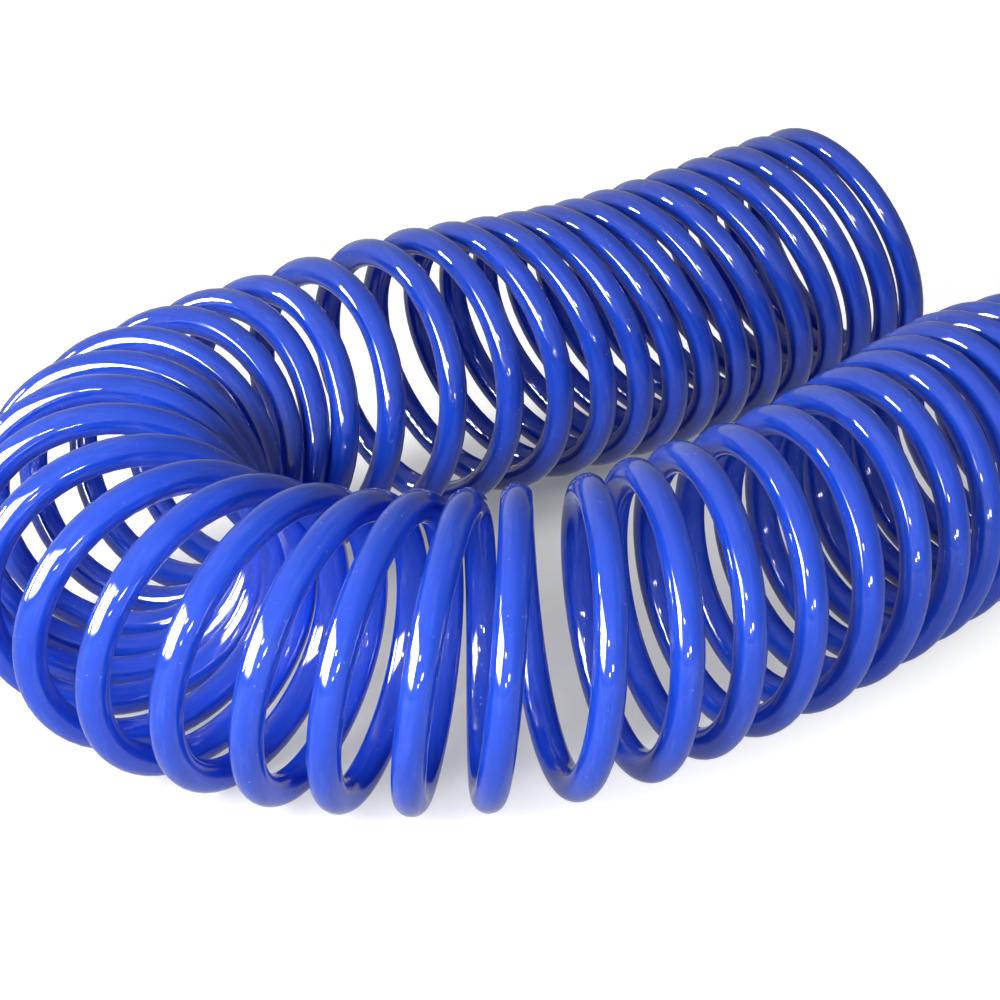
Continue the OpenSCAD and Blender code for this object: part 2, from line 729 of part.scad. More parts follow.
coupler_side() lock_ball(0);  // lock_ball_1
coupler_side() lock_ball(1);  // lock_ball_2
coupler_side() lock_ball(2);  // lock_ball_3
coupler_side() lock_ball(3);  // lock_ball_4
coupler_side() valve_poppet();
coupler_side() valve_seal();
coupler_side() valve_spring();
coupler_side() mouth_seal();
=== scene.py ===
import math
from collections import namedtuple

import bpy
import numpy as np
from mathutils import Matrix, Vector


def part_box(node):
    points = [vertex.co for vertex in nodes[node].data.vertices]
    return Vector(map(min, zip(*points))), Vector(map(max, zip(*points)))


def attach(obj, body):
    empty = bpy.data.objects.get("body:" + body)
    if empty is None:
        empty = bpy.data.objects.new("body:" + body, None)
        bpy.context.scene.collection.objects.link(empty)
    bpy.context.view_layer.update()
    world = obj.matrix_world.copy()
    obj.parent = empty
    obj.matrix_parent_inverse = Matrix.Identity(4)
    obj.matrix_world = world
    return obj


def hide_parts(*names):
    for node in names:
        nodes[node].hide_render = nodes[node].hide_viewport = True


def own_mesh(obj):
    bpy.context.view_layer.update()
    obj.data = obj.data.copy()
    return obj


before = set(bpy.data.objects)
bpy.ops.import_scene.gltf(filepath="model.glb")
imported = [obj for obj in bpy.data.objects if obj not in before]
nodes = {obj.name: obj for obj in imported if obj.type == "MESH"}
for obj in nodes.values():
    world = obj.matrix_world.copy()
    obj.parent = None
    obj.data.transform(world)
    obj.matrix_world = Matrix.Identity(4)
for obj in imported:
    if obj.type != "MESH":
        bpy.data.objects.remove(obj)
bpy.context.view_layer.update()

scene = bpy.context.scene
scene.view_settings.view_transform = "Standard"
TURN = 2 * np.pi
MM = 0.001

# ---------------------------------------------------------------- camera

LOOK_AT = np.array([-0.080, 0.084, 0.0])   # the point on the floor in the middle of the frame
CAMERA_AWAY = 1.08404                      # metres
CAMERA_UP = np.radians(25.144)
CAMERA_HEADING = np.radians(42.0)
CAMERA_ROLL = np.radians(-0.2646)
CAMERA_LENS, CAMERA_SENSOR = 85.53, 36.0   # mm
CAMERA_NEAR = 0.01                         # metres


def add_camera():
    """Camera that looks down at CAMERA_UP along the heading, with a small roll."""
    up, heading, roll = CAMERA_UP, CAMERA_HEADING, CAMERA_ROLL
    ahead = np.array([np.cos(up) * np.sin(heading), np.cos(up) * np.cos(heading),
                      -np.sin(up)])
    right = np.array([np.cos(heading), -np.sin(heading), 0.0])
    above = np.cross(right, ahead)
    right, above = (np.cos(roll) * right + np.sin(roll) * above,
                    np.cos(roll) * above - np.sin(roll) * right)
    placed = np.eye(4)
    placed[:3, 0], placed[:3, 1], placed[:3, 2] = right, above, -ahead
    placed[:3, 3] = LOOK_AT - CAMERA_AWAY * ahead
    data = bpy.data.cameras.new("camera")
    data.lens, data.sensor_width, data.clip_start = CAMERA_LENS, CAMERA_SENSOR, CAMERA_NEAR
    camera = bpy.data.objects.new("camera", data)
    scene.collection.objects.link(camera)
    camera.matrix_world = Matrix(placed.tolist())
    scene.camera = camera


add_camera()

# ---------------------------------------------------------------- mesh tools

TUBE_CREASE, TURNED_CREASE = 50, 32   # degrees past which an edge shades sharp


def surface(name, points, faces, uv=None, crease=None):
    """Mesh object from an (n, 3) array of points and arrays of quads or triangles. uv holds an
    array for each array of faces; edges sharper than crease degrees shade sharp."""
    mesh = bpy.data.meshes.new(name)
    corners = np.concatenate([f.ravel() for f in faces])
    sizes = np.concatenate([np.full(len(f), f.shape[1]) for f in faces])
    mesh.vertices.add(len(points))
    mesh.vertices.foreach_set("co", np.ascontiguousarray(points, np.float32).ravel())
    mesh.loops.add(len(corners))
    mesh.loops.foreach_set("vertex_index", corners.astype(np.int32))
    mesh.polygons.add(len(sizes))
    mesh.polygons.foreach_set("loop_start", (np.cumsum(sizes) - sizes).astype(np.int32))
    mesh.polygons.foreach_set("use_smooth", np.ones(len(sizes), bool))
    if uv is not None:
        layer = mesh.uv_layers.new(name="along")
        corner_uv = np.concatenate([u.reshape(-1, 2) for u in uv]).astype(np.float32)
        layer.data.foreach_set("uv", corner_uv.ravel())
    mesh.update(calc_edges=True)
    if crease is not None:
        mesh.set_sharp_from_angle(angle=math.radians(crease))
    piece = bpy.data.objects.new(name, mesh)
    scene.collection.objects.link(piece)
    return piece


def band_faces(rows, columns, closed=False):
    """Quads between neighbouring rows of a grid whose columns run round. closed joins the last
    row to the first."""
    row = np.arange(rows if closed else rows - 1)[:, None]
    column = np.arange(columns)[None, :]
    after, beside = (row + 1) % rows, (column + 1) % columns
    quads = np.stack([row * columns + column, row * columns + beside,
                      after * columns + beside, after * columns + column], -1)
    return quads.reshape(-1, 4)


def band_uv(along, columns):
    """UVs for band_faces: u runs round from 0 to 1, v is the distance along."""
    u = np.arange(columns + 1) / columns
    u0, u1, low, high = np.broadcast_arrays(u[None, :-1], u[None, 1:],
                                            along[:-1, None], along[1:, None])
    return np.stack([np.stack([u0, low], -1), np.stack([u1, low], -1),
                     np.stack([u1, high], -1), np.stack([u0, high], -1)], 2).reshape(-1, 4, 2)


def distance_along(path):
    """Running length of a line of points."""
    return np.concatenate([[0.0], np.cumsum(np.linalg.norm(np.diff(path, axis=0), axis=1))])


def unit(v):
    """Each row scaled to length 1."""
    return v / np.linalg.norm(v, axis=-1, keepdims=True)


def tube(name, path, side, radius, sides):
    """Round tube along a path: ring i is path[i] + radius (cos a * across + sin a * side'),
    where side' is the side vector made square to the path and across is square to both.
    Each end closes on one middle point."""
    ahead = unit(np.gradient(path, axis=0))
    side = unit(side - np.sum(side * ahead, -1, keepdims=True) * ahead)
    across = np.cross(side, ahead)
    a = TURN * np.arange(sides) / sides
    cosine, sine = np.cos(a)[None, :, None], np.sin(a)[None, :, None]
    ring = across[:, None] * cosine + side[:, None] * sine
    points = (path[:, None] + radius * ring).reshape(-1, 3)
    count = len(points)
    points = np.concatenate([points, path[:1], path[-1:]])
    column = np.arange(sides)
    beside = (column + 1) % sides
    first = np.stack([np.full(sides, count), beside, column], -1)
    last = np.stack([np.full(sides, count + 1), count - sides + column,
                     count - sides + beside], -1)
    v = distance_along(path)
    uv = [band_uv(v, sides)] + [np.full((sides, 3, 2), (0.5, at)) for at in (v[0], v[-1])]
    return surface(name, points, [band_faces(len(path), sides), first, last], uv, TUBE_CREASE)


def glide(rows, t):
    """Smooth curve through rows of (parameter, values): cubic pieces whose slope at a row is
    the mean of the slopes beside it, each weighted by the other's width."""
    k, v = rows[:, 0], rows[:, 1:]
    width = np.diff(k)
    rate = np.diff(v, axis=0) / width[:, None]
    slope = np.empty_like(v)
    slope[0], slope[-1] = rate[0], rate[-1]
    slope[1:-1] = ((rate[:-1] * width[1:, None] + rate[1:] * width[:-1, None])
                   / (width[:-1] + width[1:])[:, None])
    i = np.clip(np.searchsorted(k, t, side="right") - 1, 0, len(k) - 2)
    h = width[i][:, None]
    u = ((t - k[i]) / width[i])[:, None]
    return ((2 * u**3 - 3 * u**2 + 1) * v[i] + (u**3 - 2 * u**2 + u) * h * slope[i]
            + (3 * u**2 - 2 * u**3) * v[i + 1] + (u**3 - u**2) * h * slope[i + 1])


# ---------------------------------------------------------------- hose

# in metres
HOSE_R = 0.006
RING_GAP = 0.0055                            # between the rings of a straight end
STRAIGHT = 0.0695                            # of hose, straight into each fitting
PLUG = np.array([0.292, 0.008, 0.011])       # the hose's end face in the plug's nut
COUPLER = np.array([0.281, -0.165, 0.0135])  # and in the coupler's
LOWEST = [-1.0, -1.0, HOSE_R]                # least x, y and z on the loose ends' middle line
INWARD = np.array([1.0, 0.0, 0.0])           # the way the straight ends run into the fittings
UPRIGHT = np.array([0.0, 0.0, 1.0])

HOSE_SIDES, RINGS_PER_CURL = 34, 60
PLUG_TAIL_RINGS, COUPLER_TAIL_RINGS = 36, 30
FIRST_CURL, LAST_CURL = 0.5, 47.5

# curl number, x, y of the coil's middle on the floor, in mm
COIL_ROUTE = np.array([
    [0.5, 154, 83], [2, 131, 88], [4, 92, 90], [6, 49, 91], [8, 7, 92], [10, -30, 96],
    [12, -70, 103], [13, -94, 107], [14, -123, 110], [15, -159, 112], [16, -189, 114],
    [17, -210, 117], [18, -232, 114], [19, -256, 104], [20, -277, 88], [21, -292, 71],
    [22, -305, 51], [23, -314, 25], [24, -316, -2], [25, -310, -23], [26, -300, -43],
    [27, -288, -62], [28, -274, -76], [29, -258, -90], [30, -239, -101], [31, -212, -114],
    [32, -188, -117], [33, -164, -118], [34, -139, -120], [35, -113, -120], [36, -88, -118],
    [38, -44, -113], [40, -5, -108], [42, 33, -107], [43, 55, -110], [45, 98, -112],
    [47.5, 150, -112]], float)
# curl number, heading of the U's outer side and lean of the curl, in degrees
COIL_FACING = np.array([
    [0.5, 81, 15], [3, 83, 18], [6, 86, 19], [9, 88, 16], [12, 88, 8], [14, 87, -2],
    [16, 93, -14], [18, 110, -20], [20, 132, -14], [22, 151, -3], [24, 178, 3], [26, 197, 5],
    [28, 212, 3], [30, 231, 0], [32, 245, -1], [34, 254, 0], [36, 260, 1], [38, 263, 2],
    [40, 266, 0], [43, 273, -8], [47.5, 275, -6]], float)
# curl number, outside diameter of the curl, in mm
COIL_SIZE = np.array([[0.5, 135], [10, 128], [18, 124], [32, 115], [40, 118.5], [47.5, 122]],
                     float)
# where the loose ends pass between the coil and the straight ends, in mm
PLUG_TAIL = np.array([[165, 58, 5], [167, 45, 6], [174, 31, 7], [185, 19, 8],
                      [199, 11, 10]]) * MM
COUPLER_TAIL = np.array([[157, -130, 5], [162, -141, 7], [171, -151, 9],
                         [183, -159, 11], [195, -164, 13]]) * MM


def coil_line(t):
    """Centre line of the coil and the direction in which it moves on.
    A curl is a circle in a leaning plane: middle + R (cos w * up - sin w * out), w = 2 pi t,
    where out points to the U's outer side and up leans from the vertical about out."""
    middle = glide(COIL_ROUTE, t) * MM
    heading, lean = np.radians(glide(COIL_FACING, t)).T
    curl_r = glide(COIL_SIZE, t)[:, 0] * MM / 2 - HOSE_R
    out = np.stack([np.cos(heading), np.sin(heading), 0 * heading], -1)
    up = np.stack([-np.sin(heading) * np.sin(lean), np.cos(heading) * np.sin(lean),
                   np.cos(lean)], -1)
    w = TURN * t
    raised = np.stack([middle[:, 0], middle[:, 1], HOSE_R + curl_r * np.cos(lean)], -1)
    line = raised + curl_r[:, None] * (np.cos(w)[:, None] * up - np.sin(w)[:, None] * out)
    return line, np.cross(out, up)


def smooth_path(points, first_slope, last_slope, steps):
    """Cubic curve through points in this many steps, with chord lengths as its parameter and
    the end slopes given."""
    k = distance_along(points)
    before = points[:1] - first_slope * (k[1] - k[0])
    after = points[-1:] + last_slope * (k[-1] - k[-2])
    k = np.concatenate([[2 * k[0] - k[1]], k, [2 * k[-1] - k[-2]]])
    rows = np.column_stack([k, np.concatenate([before, points, after])])
    t = np.linspace(k[1], k[-2], steps)
    return glide(rows, t)


def hose_path():
    """The whole hose from the plug's nut to the coupler's: straight end, loose end, coil, loose
    end, straight end, with a vector beside it that never lies along it."""
    coil_rings = int((LAST_CURL - FIRST_CURL) * RINGS_PER_CURL) + 1
    coil, beside = coil_line(np.linspace(FIRST_CURL, LAST_CURL, coil_rings))
    lead, trail = unit(coil[0] - coil[1]), unit(coil[-1] - coil[-2])
    plug_straight, coupler_straight = PLUG - INWARD * STRAIGHT, COUPLER - INWARD * STRAIGHT
    plug_tail = np.concatenate([coil[:1], np.maximum(PLUG_TAIL, LOWEST), plug_straight[None]])
    plug_tail = smooth_path(plug_tail, lead, INWARD, PLUG_TAIL_RINGS)
    coupler_tail = np.concatenate([coil[-1:], np.maximum(COUPLER_TAIL, LOWEST),
                                   coupler_straight[None]])
    coupler_tail = smooth_path(coupler_tail, trail, INWARD, COUPLER_TAIL_RINGS)
    rings = int(STRAIGHT / RING_GAP)
    plug_end = np.linspace(plug_straight, PLUG, rings)[1:]
    coupler_end = np.linspace(coupler_straight, COUPLER, rings)[1:]
    line = np.concatenate([plug_end[::-1], plug_tail[::-1], coil[1:-1], coupler_tail,
                           coupler_end])
    fade = np.linspace(0, 1, PLUG_TAIL_RINGS)[:, None]
    plug_side = (1 - fade) * beside[0] + fade * UPRIGHT
    fade = np.linspace(0, 1, COUPLER_TAIL_RINGS)[:, None]
    coupler_side = (1 - fade) * beside[-1] + fade * UPRIGHT
    straight_side = np.tile(UPRIGHT, (rings - 1, 1))
    side = np.concatenate([straight_side, plug_side[::-1], beside[1:-1], coupler_side,
                           straight_side])
    return line, side


line, side = hose_path()
hose = tube("hose", line, side, HOSE_R, HOSE_SIDES)
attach(hose, "root")
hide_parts("hose_coil", "plug_tail", "coupler_tail", "plug_hose_end",
            "coupler_hose_end")

# ---------------------------------------------------------------- materials


def material(name, **inputs):
    """Principled material whose constant inputs are given by socket name, with _ for a space;
    returns it with its node tree and its shader."""
    made = bpy.data.materials.new(name)
    made.use_nodes = True
    tree = made.node_tree
    shader = tree.nodes["Principled BSDF"]
    for key, value in inputs.items():
        shader.inputs[key.replace("_", " ")].default_value = value
    return made, tree, shader


def add_node(tree, kind, inputs=None, **settings):
    """Node of a kind, named without its ShaderNode, with its settings and with inputs linked
    or set."""
    node = tree.nodes.new("ShaderNode" + kind)
    for key, value in settings.items():
        setattr(node, key, value)
    for key, value in (inputs or {}).items():
        if isinstance(value, bpy.types.NodeSocket):
            tree.links.new(value, node.inputs[key])
        else:
            node.inputs[key].default_value = value
    return node


def add_math(tree, operation, *values):
    """Result of a sum on sockets or numbers."""
    return add_node(tree, "Math", dict(enumerate(values)), operation=operation).outputs[0]


def noise(tree, place, scale, detail, roughness=0.5):
    """Soft noise between 0 and 1 over places, with this many features to a unit."""
    node = add_node(tree, "TexNoise", {"Vector": place, "Scale": scale, "Detail": detail,
                                       "Roughness": roughness})
    return node.outputs["Fac"]


def spread(tree, value, low, high, to_low, to_high, **settings):
    """Value carried from the range low..high to to_low..to_high, and held at its ends."""
    node = add_node(tree, "MapRange", {"Value": value, "From Min": low, "From Max": high,
                                       "To Min": to_low, "To Max": to_high}, **settings)
    return node.outputs["Result"]


def blend_color(tree, share, first, second):
    """Colour between two, each a socket or an (r, g, b)."""
    pair = {key: (*color, 1) if isinstance(color, tuple) else color
            for key, color in ((6, first), (7, second))}
    return add_node(tree, "Mix", {0: share, **pair}, data_type="RGBA").outputs[2]


def blend_level(tree, share, first, second):
    """Level between two, each a socket or a number."""
    return add_node(tree, "Mix", {0: share, 2: first, 3: second}).outputs[0]


def object_place(tree):
    """Places on a piece, in metres."""
    return add_node(tree, "TexCoord").outputs["Object"]


def mapped(tree, place, scale, **inputs):
    """Places scaled along each axis."""
    return add_node(tree, "Mapping", {"Vector": place, "Scale": scale,
                                      **inputs}).outputs["Vector"]


def round_tube(tree, around, along):
    """Places on a cylinder from a tube's UV map, so that noise meets itself round the tube:
    around is the cylinder's radius and along its length for each metre of tube, both in units
    of the noise."""
    along_tube = add_node(tree, "UVMap", uv_map="along").outputs["UV"]
    parts = add_node(tree, "SeparateXYZ", {0: along_tube}).outputs
    angle = add_math(tree, "MULTIPLY", parts["X"], TURN)
    joined = add_node(tree, "CombineXYZ", {0: add_math(tree, "COSINE", angle),
                                           1: add_math(tree, "SINE", angle), 2: parts["Y"]})
    return mapped(tree, joined.outputs[0], (around, around, along))


def wear(tree, shader, color, roughness, height, strength, depth):
    """Links what varies over a surface to its shader: colour, unless it is None, roughness, and
    a height that makes a bump of depth metres. Returns the bumped normal."""
    if color is not None:
        tree.links.new(color, shader.inputs["Base Color"])
    tree.links.new(roughness, shader.inputs["Roughness"])
    bump = add_node(tree, "Bump", {"Height": height, "Strength": strength, "Distance": depth})
    tree.links.new(bump.outputs["Normal"], shader.inputs["Normal"])
    return bump.outputs["Normal"]


DEEP_BLUE, CLEAR_BLUE = (0.0085, 0.054, 0.53), (0.0140, 0.080, 0.69)
# pale tint of the streaks along the hose: rub marks in part, painted sheen in part
RUB_AND_SHEEN_TINT, DUST = (0.075, 0.150, 0.76), (0.35, 0.42, 0.70)
# noise over the hose: features to a metre, and features round the tube and along a metre of it
DRIFT_SCALE, PATCH_SCALE, SPECK_SCALE = 38.0, 90.0, 330.0
RUB_AND_SHEEN_STROKES, DRAW_LINES = (1.9, 45.0), (0.8, 12.0)
DRAW_DEPTH = 0.0003


def hose_material():
    """Glossy blue polyurethane: deep colour that drifts a little, under a sharp gloss with
    faint draw lines. Pale streaks run along the tube, partly rub marks and partly painted sheen;
    handling dulls the gloss in patches, and specks of dust lie on it."""
    made, tree, shader = material("hose_polyurethane", IOR=1.5, Specular_IOR_Level=0.0,
                                  Coat_Weight=1.0, Coat_IOR=1.55)
    place = object_place(tree)
    drift = noise(tree, place, DRIFT_SCALE, 4.0, 0.6)
    blue = blend_color(tree, drift, DEEP_BLUE, CLEAR_BLUE)
    grains = add_node(tree, "TexVoronoi", {"Vector": place, "Scale": SPECK_SCALE})
    speck = spread(tree, grains.outputs["Distance"], 0.09, 0.18, 0.4, 0.0)
    settled = noise(tree, place, PATCH_SCALE, 2.0)
    where = spread(tree, settled, 0.55, 0.70, 0.0, 1.0)
    dust = add_math(tree, "MULTIPLY", speck, where)
    strokes = noise(tree, round_tube(tree, *RUB_AND_SHEEN_STROKES), 1.0, 5.0, 0.65)
    # pale streaks along the tube, partly rub marks and partly painted sheen
    rubbed_and_sheen = spread(tree, strokes, 0.50, 0.72, 0.0, 0.42)
    color = blend_color(tree, dust, blend_color(tree, rubbed_and_sheen, blue, RUB_AND_SHEEN_TINT), DUST)
    handled = spread(tree, settled, 0.3, 0.75, 0.02, 0.045)
    tree.links.new(handled, shader.inputs["Coat Roughness"])
    lines = noise(tree, round_tube(tree, *DRAW_LINES), 1.0, 2.0)
    rough = spread(tree, drift, 0.0, 1.0, 0.30, 0.40)
    normal = wear(tree, shader, color, rough, lines, 0.02, DRAW_DEPTH)
    tree.links.new(normal, shader.inputs["Coat Normal"])
    return made


CLOUD_SCALE = 160.0                      # features to a metre
SOLID_MARKS = (6000.0, 90.0, 90.0)       # along x, y and z, to a metre
TOOL_DEPTH, GRAIN_DEPTH = 0.00006, 0.00005


def metal_material(name, color, roughness, marks, tint):
    """Bare or plated metal. marks is how many tool marks go to a turn of the piece and to a
    metre of it; they carry the roughness and a faint bump, and slow clouds of handling dull and
    tint the shine."""
    made, tree, shader = material(name, Metallic=1.0)
    along_piece = add_node(tree, "UVMap", uv_map="along").outputs["UV"]
    tool = noise(tree, mapped(tree, along_piece, (*marks, 1.0)), 1.0, 3.0, 0.6)
    clouds = noise(tree, object_place(tree), CLOUD_SCALE, 4.0)
    both = add_math(tree, "MULTIPLY", tool, clouds)
    rough = spread(tree, both, 0.1, 0.45, roughness * 0.6, roughness * 1.8)
    dull = tuple(c * (1 - tint) * w for c, w in zip(color, (1.0, 0.97, 0.9)))
    wear(tree, shader, blend_color(tree, clouds, color, dull), rough, tool, 0.12, TOOL_DEPTH)
    return made


def solid_metal_material(name, color, roughness):
    """The same metals on the plain CAD solids, with the tool marks as rings along X."""
    made, tree, shader = material(name, Base_Color=(*color, 1), Metallic=1.0)
    marks = noise(tree, mapped(tree, object_place(tree), SOLID_MARKS), 1.0, 3.0)
    rough = spread(tree, marks, 0.0, 1.0, roughness * 0.6, roughness * 1.6)
    wear(tree, shader, None, rough, marks, 0.1, TOOL_DEPTH)
    return made


RUBBER_BLACK, RUBBER_BLOOM = (0.012, 0.012, 0.013), (0.045, 0.044, 0.042)
BLOOM_SCALE, GRAIN_SCALE = 500.0, 6000.0


def rubber_material():
    """Black nitrile rubber: matt, with a fine moulded grain and a pale dusty bloom."""
    made, tree, shader = material("nitrile_rubber")
    place = object_place(tree)
    bloom = noise(tree, place, BLOOM_SCALE, 5.0)
    grain = noise(tree, place, GRAIN_SCALE, 2.0)
    color = blend_color(tree, bloom, RUBBER_BLACK, RUBBER_BLOOM)
    rough = spread(tree, bloom, 0.0, 1.0, 0.5, 0.8)
    wear(tree, shader, color, rough, grain, 0.2, GRAIN_DEPTH)
    return made


hose_blue = hose_material()
NICKEL, ZINC, SPRING_WIRE = (0.68, 0.65, 0.60), (0.58, 0.59, 0.60), (0.55, 0.56, 0.57)
BRASS, BALL_STEEL = (0.74, 0.53, 0.24), (0.60, 0.60, 0.61)
# tool marks round a piece and along it, in marks to a turn and to a metre
TURNED_MARKS, DRAWN_MARKS, WIRE_MARKS = (3.0, 9000.0), (420.0, 60.0), (14.0, 60.0)
finishes = {
    "spring_steel": metal_material("bright_spring_wire", SPRING_WIRE, 0.15, WIRE_MARKS, 0.2),
    "nickel": metal_material("nickel_turned", NICKEL, 0.09, TURNED_MARKS, 0.12),
    "nickel_drawn": metal_material("nickel_drawn", NICKEL, 0.11, DRAWN_MARKS, 0.12),
    "hard_steel": metal_material("zinc_turned", ZINC, 0.17, TURNED_MARKS, 0.18),
    "hard_steel_drawn": metal_material("zinc_drawn", ZINC, 0.19, DRAWN_MARKS, 0.18),
    "rubber": rubber_material(),
}
solid_finishes = {
    "spring_steel": solid_metal_material("bright_spring_solid", SPRING_WIRE, 0.16),
    "nickel": solid_metal_material("nickel_solid", NICKEL, 0.10),
    "brass": solid_metal_material("brass_solid", BRASS, 0.18),
    "hard_steel": solid_metal_material("ball_steel_solid", BALL_STEEL, 0.12),
    "rubber": finishes["rubber"],
}


def dress(piece, *worn):
    """Gives a piece these materials and no others."""
    piece.data.materials.clear()
    for finish in worn:
        piece.data.materials.append(finish)


dress(hose, hose_blue)
NODE_FINISH = {   # the CAD solids that show as they are
    "nickel": ["coupler_body"],
    "brass": ["plug_hose_stem", "coupler_hose_stem", "valve_poppet"],
    "hard_steel": ["lock_ball_1", "lock_ball_2", "lock_ball_3", "lock_ball_4"],
    "spring_steel": ["plug_swivel_clip", "coupler_swivel_clip", "sleeve_clip"],
    "rubber": ["plug_swivel_seal", "coupler_swivel_seal", "valve_seal", "mouth_seal"],
}
for finish, names in NODE_FINISH.items():
    for name in names:
        dress(nodes[name], solid_finishes[finish])

# ---------------------------------------------------------------- places and stand-ins


def axis_frame(at, z, r, a):
    """Points of a fitting: z along the fitting from the hose's end face, r and a round its
    axis."""
    x = at[0] + z
    y = at[1] + r * np.sin(a)
    height = at[2] - r * np.cos(a)
    return np.stack(np.broadcast_arrays(x, y, height), -1)


def stand_in(piece, body, node, slot, *worn):
    """Sets a piece on its body in place of a CAD node, with its finishes; slot is not used."""
    dress(piece, *worn)
    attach(piece, body)
    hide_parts(node)


# ---------------------------------------------------------------- wire springs

# middle radius and wire in metres, curls, rings to a curl and sides of the wire
Spring = namedtuple("Spring", "radius wire curls rings sides")
GUARD = Spring(0.00793, 0.002, 9, 40, 12)
SLEEVE_SPRING = Spring(0.00995, 0.0012, 5, 48, 12)
VALVE_SPRING = Spring(0.0042, 0.0008, 4, 40, 10)
CLOSED_CURLS, CLOSED_LEAD = 0.9, 0.25   # curls that the lead eases over, and its first share


def wire_spring(name, at, z0, z1, spring, body, node):
    """Helix of round wire between two stations: angle a = 2 pi t, with t in curls, and z is the
    running sum of the lead. The end curls are wound close: the lead is c + (1 - c) (3 u^2 -
    2 u^3), where c is CLOSED_LEAD and u goes from 0 at an end to 1 at CLOSED_CURLS from it."""
    turn = np.linspace(0, spring.curls, spring.curls * spring.rings + 1)
    u = np.clip(np.minimum(turn, spring.curls - turn) / CLOSED_CURLS, 0, 1)
    lead = CLOSED_LEAD + (1 - CLOSED_LEAD) * u * u * (3 - 2 * u)
    z = np.concatenate([[0.0], np.cumsum((lead[1:] + lead[:-1]) / 2)])
    z = (z0 + spring.wire / 2) + (z1 - z0 - spring.wire) * z / z[-1]
    path = axis_frame(at, z, spring.radius, TURN * turn)
    out = axis_frame(at, z, spring.radius + 1.0, TURN * turn) - path
    piece = tube(name, path, out, spring.wire / 2, spring.sides)
    stand_in(piece, body, node, "spring_steel", finishes["spring_steel"])
    return piece


# ---------------------------------------------------------------- floor and world

FLOOR_HALF = 12.0
FLOOR_COLOR = (0.41, 0.41, 0.39)
# how bright the floor shows itself: middle and radii of an oval, and the level at distances
# from its middle, in radii; the lower levels inside the oval are painted shade in the U, and the
# second oval is painted shade at the far arm's foot, what is left of that level there
FLOOR_LIFT_AND_PAINTED_SHADE = ((-0.08, 0.01), (0.32, 0.18),
              ((0.0, 0.39), (0.68, 0.42), (0.94, 0.93), (4.0, 1.0)))
FOOT_SHADE = ((-0.02, 0.082), (0.22, 0.045),
              ((0.0, 0.40), (0.40, 0.55), (1.12, 1.0), (4.0, 1.0)))
RAMP_REACH = 4.0                           # radii that a ramp of levels covers
GLOSS_FLOOR = 0.36                         # how bright the floor shows in gloss
MATT_LEVEL = 0.02                          # of white light from all round on matt surfaces
DIM_SIDE = np.array([0.89, -0.42, 0.17])   # the open, unlit side of the studio
GLOSS_BRIGHT, GLOSS_DIM = 0.9, 0.35        # how gloss sees the lit side and that one,
DIM_FROM, DIM_TO = -0.2, 0.7               # which begins and is whole at these cosines


def seen_ray(tree, *kinds):
    """1 on rays of these Light Path kinds, 0 on others."""
    path = add_node(tree, "LightPath")
    level = path.outputs[kinds[0]]
    for kind in kinds[1:]:
        level = add_math(tree, "MAXIMUM", level, path.outputs[kind])
    return level


def stepped(tree, value, stops):
    """Level eased through stops of (value, level)."""
    node = add_node(tree, "ValToRGB", {0: value})
    band = node.color_ramp
    band.interpolation = "EASE"
    ends = (band.elements[0], band.elements[-1])
    for stop, (place, level) in zip(ends, (stops[0], stops[-1])):
        stop.position, stop.color = place, (level, level, level, 1)
    for place, level in stops[1:-1]:
        band.elements.new(place).color = (level, level, level, 1)
    return node.outputs["Color"]


def oval_level(tree, middle, radii, stops):
    """Level eased outwards from an oval's middle on the floor, through stops of (distance in
    radii, level)."""
    scale = np.array([1 / radii[0], 1 / radii[1], RAMP_REACH]) / RAMP_REACH
    oval = mapped(tree, object_place(tree), scale, Location=-scale * (*middle, 0.0))
    off = add_node(tree, "VectorMath", {0: oval}, operation="LENGTH")
    return stepped(tree, off.outputs["Value"], [(r / RAMP_REACH, level) for r, level in stops])


def add_floor():
    """Pale floor, lifted where the camera or glass sees it: greyer inside the U's oval and at the
    far arm's foot, which is painted shade, and white beyond. It keeps the shadow."""
    half = FLOOR_HALF
    points = np.array([[-half, -half, 0], [half, -half, 0], [half, half, 0], [-half, half, 0]])
    floor = surface("floor", points, [np.array([[0, 1, 2, 3]])])
    made, tree, shader = material("studio_floor", Base_Color=(*FLOOR_COLOR, 1), Roughness=1.0,
                                  Specular_IOR_Level=0.0, Emission_Color=(1, 1, 1, 1))
    # lower levels inside the U and at the far arm's foot are painted shade on the floor
    lift_and_painted_shade = add_math(tree, "MULTIPLY", oval_level(tree, *FLOOR_LIFT_AND_PAINTED_SHADE),
                    oval_level(tree, *FOOT_SHADE))
    clear = add_math(tree, "MULTIPLY", seen_ray(tree, "Is Camera Ray", "Is Transmission Ray"),
                     lift_and_painted_shade)
    shown = add_math(tree, "MULTIPLY_ADD", seen_ray(tree, "Is Glossy Ray"), GLOSS_FLOOR, clear)
    tree.links.new(shown, shader.inputs["Emission Strength"])
    dress(floor, made)


